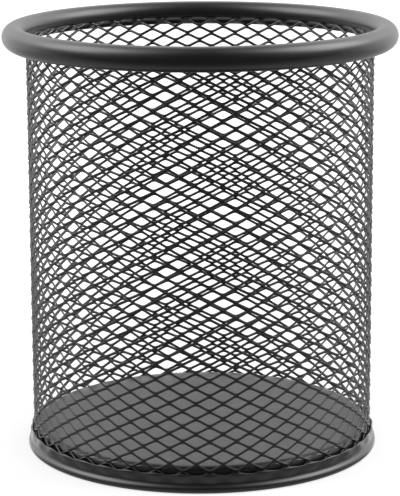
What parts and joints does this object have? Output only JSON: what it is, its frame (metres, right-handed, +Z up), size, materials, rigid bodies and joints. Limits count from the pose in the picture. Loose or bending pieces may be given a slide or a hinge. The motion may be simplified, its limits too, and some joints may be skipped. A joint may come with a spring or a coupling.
{
  "type": "pen cup",
  "caption": "Round desk pen cup of black expanded-metal mesh, with a tubular rim and a pressed base pan, open at the top.",
  "frame": {"origin": "on the cup's axis, in the plane that it stands on", "axes": "+Z up along the cup's axis, -Y towards the front; the cup is round, so the front is only where the first bond of the mesh lies"},
  "size_m": [0.09, 0.09, 0.0986],
  "materials": {
    "black_paint": "satin black powder coat on steel tube",
    "black_paint_mesh": "satin black powder coat on expanded steel",
    "black_paint_pan": "satin black powder coat on pressed sheet steel"
  },
  "bodies": {
    "root": {"rim_tube": "black_paint", "mesh_wall": "black_paint_mesh", "base_pan": "black_paint_pan"}
  },
  "joints": []
}
